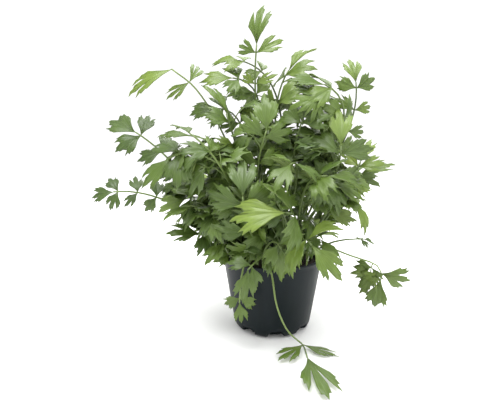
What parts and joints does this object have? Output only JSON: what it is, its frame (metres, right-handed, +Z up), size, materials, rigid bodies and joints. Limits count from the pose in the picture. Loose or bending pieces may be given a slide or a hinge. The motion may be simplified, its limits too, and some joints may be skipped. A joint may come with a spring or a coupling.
{
  "type": "potted lovage plant",
  "caption": "Clump of young lovage with lobed pinnate fronds on slim stalks, some trailing over the rim of a round black nursery pot with drain notches.",
  "frame": {"origin": "middle of the pot's underside, on the flat spot that is level with the foot ring", "axes": "+Z up along the pot's axis, front towards -Y, where the longest stalk trails over the rim to the ground, +X to the right seen from the front"},
  "size_m": [0.3781, 0.3348, 0.3832],
  "materials": {
    "pot": "moulded, satin black with a faint blue cast",
    "soil": "moist, dark, crumbly peat compost",
    "leaf": "thin fresh leaf, waxy green face, paler veined back",
    "young_leaf": "thin young leaf, bright yellow green"
  },
  "bodies": {
    "root": {"frond_01": "leaf", "frond_02": "leaf", "frond_03": "young_leaf", "frond_04": "leaf", "frond_05": "leaf", "frond_06": "leaf", "frond_07": "leaf", "frond_08": "leaf", "frond_09": "leaf", "frond_10": "leaf", "frond_11": "leaf", "frond_12": "leaf", "frond_13": "leaf", "frond_14": "leaf", "frond_15": "leaf", "frond_16": "leaf", "frond_17": "leaf", "frond_18": "leaf", "frond_19": "leaf", "frond_20": "young_leaf", "frond_21": "leaf", "frond_22": "leaf", "frond_23": "leaf", "frond_24": "leaf", "frond_25": "leaf", "frond_26": "leaf", "frond_27": "leaf", "frond_28": "leaf", "frond_30": "leaf", "frond_33": "leaf", "frond_34": "leaf", "frond_39": "leaf", "frond_40": "leaf", "frond_41": "leaf", "frond_42": "leaf", "frond_44": "leaf", "frond_45": "young_leaf", "frond_46": "leaf", "frond_47": "leaf", "frond_48": "leaf", "frond_49": "leaf", "frond_50": "leaf", "frond_52": "leaf", "pot": "pot", "soil": "soil"}
  },
  "joints": []
}
